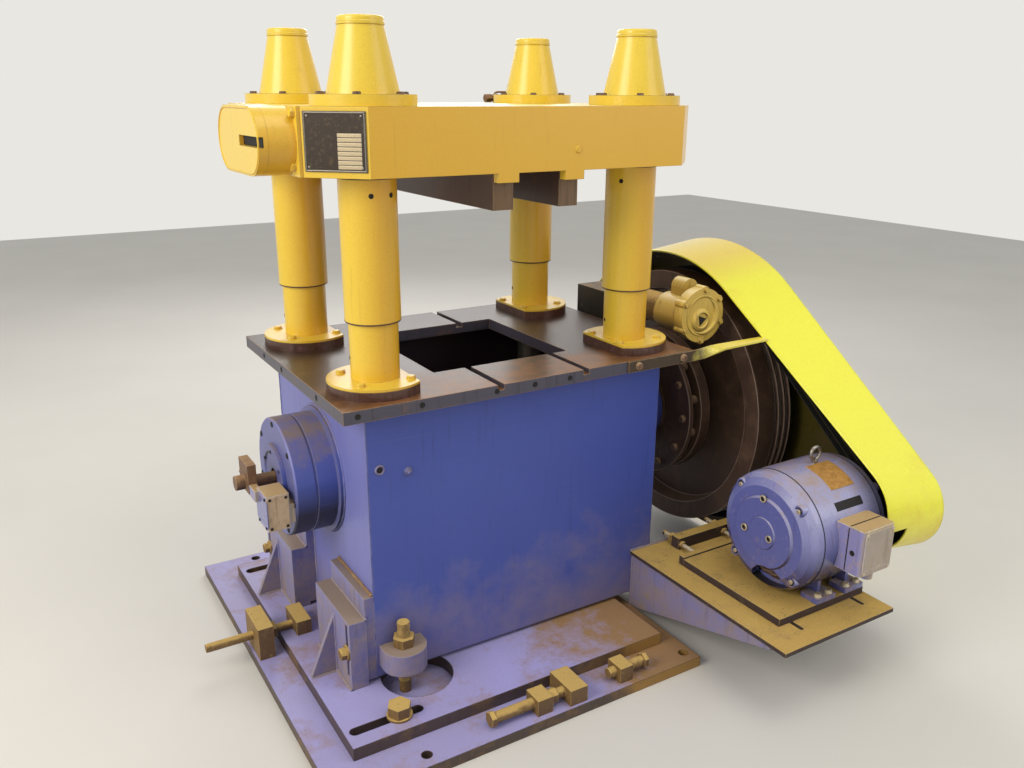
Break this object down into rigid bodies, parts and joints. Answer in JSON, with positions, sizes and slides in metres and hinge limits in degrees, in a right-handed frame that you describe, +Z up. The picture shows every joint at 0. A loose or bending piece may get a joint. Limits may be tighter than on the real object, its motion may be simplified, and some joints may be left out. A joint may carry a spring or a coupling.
{
  "type": "cutoff press",
  "caption": "Low cutoff press: a steel body with a bed and die opening, a platen on guide posts above it, a crank with flywheel and guarded belt drive, and a motor on a side shelf.",
  "frame": {"origin": "on the floor, midway between the guide posts", "axes": "+X along the long front face towards the flywheel, +Y to the back, +Z up"},
  "size_m": [1.82, 1.547, 1.7],
  "materials": {
    "blue_paint": "semi-gloss blue machine paint, worn and dusty",
    "pale_blue_paint": "thin blue-grey paint worn to grey steel and dust",
    "yellow_paint": "semi-gloss yellow machine paint, scuffed and oily",
    "lemon_paint": "glossy lemon yellow sheet paint",
    "oily_steel": "machined steel under brown oil and light rust",
    "bare_steel": "ground bare steel",
    "rusty_steel": "dull rusty steel",
    "dark_iron": "dark dusty cast iron",
    "black_rubber": "matt black rubber",
    "black_plastic": "matt black",
    "motor_blue": "glossy pale blue motor paint",
    "grey_box_paint": "grey paint with scuffs",
    "plate_metal": "dark blank metal plate"
  },
  "bodies": {
    "base": {"sole_plate": "pale_blue_paint", "slide_plate": "pale_blue_paint", "body_front_wall": "blue_paint", "body_back_wall": "blue_paint", "body_left_wall": "blue_paint", "body_right_wall": "blue_paint", "body_floor": "blue_paint", "bed_plate": "oily_steel", "seal_rings": "oily_steel", "guide_bushes": "bare_steel", "crank_housing": "blue_paint", "housing_cap": "blue_paint", "right_housing": "blue_paint", "rotary_coupling": "rusty_steel", "switch_box": "grey_box_paint", "motor_barrel": "motor_blue", "motor_bells": "motor_blue", "conduit_box": "grey_box_paint", "eyebolt": "bare_steel", "motor_shelf": "pale_blue_paint", "shelf_gussets": "blue_paint", "slide_base": "pale_blue_paint", "tension_rail": "pale_blue_paint", "guard_side": "lemon_paint", "guard_band": "lemon_paint", "guard_strap": "lemon_paint", "belts": "black_rubber", "air_valve": "yellow_paint", "air_pipe": "rusty_steel", "air_box": "black_plastic", "jack_lugs": "blue_paint", "jack_screws": "rusty_steel", "clamp_bolts": "rusty_steel", "foot_brackets": "blue_paint", "side_adjuster": "rusty_steel", "front_adjuster": "rusty_steel", "lower_sleeve_front_left": "yellow_paint", "lower_sleeve_front_right": "yellow_paint", "lower_sleeve_back_left": "yellow_paint", "lower_sleeve_back_right": "yellow_paint"},
    "press_slide": {"platen": "yellow_paint", "die_rails": "oily_steel", "end_housing": "yellow_paint", "end_cap": "yellow_paint", "name_plate": "plate_metal", "guide_posts": "bare_steel", "upper_sleeve_front_left": "yellow_paint", "upper_sleeve_front_right": "yellow_paint", "upper_sleeve_back_left": "yellow_paint", "upper_sleeve_back_right": "yellow_paint", "cone_cap_front_left": "yellow_paint", "cone_cap_front_right": "yellow_paint", "cone_cap_back_left": "yellow_paint", "cone_cap_back_right": "yellow_paint"},
    "crank": {"crank_shaft": "bare_steel"},
    "flywheel": {"flywheel": "dark_iron", "clutch_disc": "dark_iron"},
    "motor_rotor": {"motor_rotor": "bare_steel"}
  },
  "joints": [
    {"name": "press_stroke", "type": "slide", "parent": "base", "child": "press_slide", "axis": [0, 0, 1], "range_m": [-0.1, 0]},
    {"name": "crank_turn", "type": "hinge", "parent": "base", "child": "crank", "pos_m": [0, 0, 0.552], "axis": [1, 0, 0], "continuous": true},
    {"name": "flywheel_turn", "type": "hinge", "parent": "base", "child": "flywheel", "pos_m": [0.862, 0, 0.552], "axis": [1, 0, 0], "continuous": true},
    {"name": "motor_turn", "type": "hinge", "parent": "base", "child": "motor_rotor", "pos_m": [0.645, -0.734, 0.416], "axis": [1, 0, 0], "continuous": true}
  ],
  "couplings": [
    {"joint": "motor_turn", "follows": "flywheel_turn", "ratio": 5.3171}
  ]
}
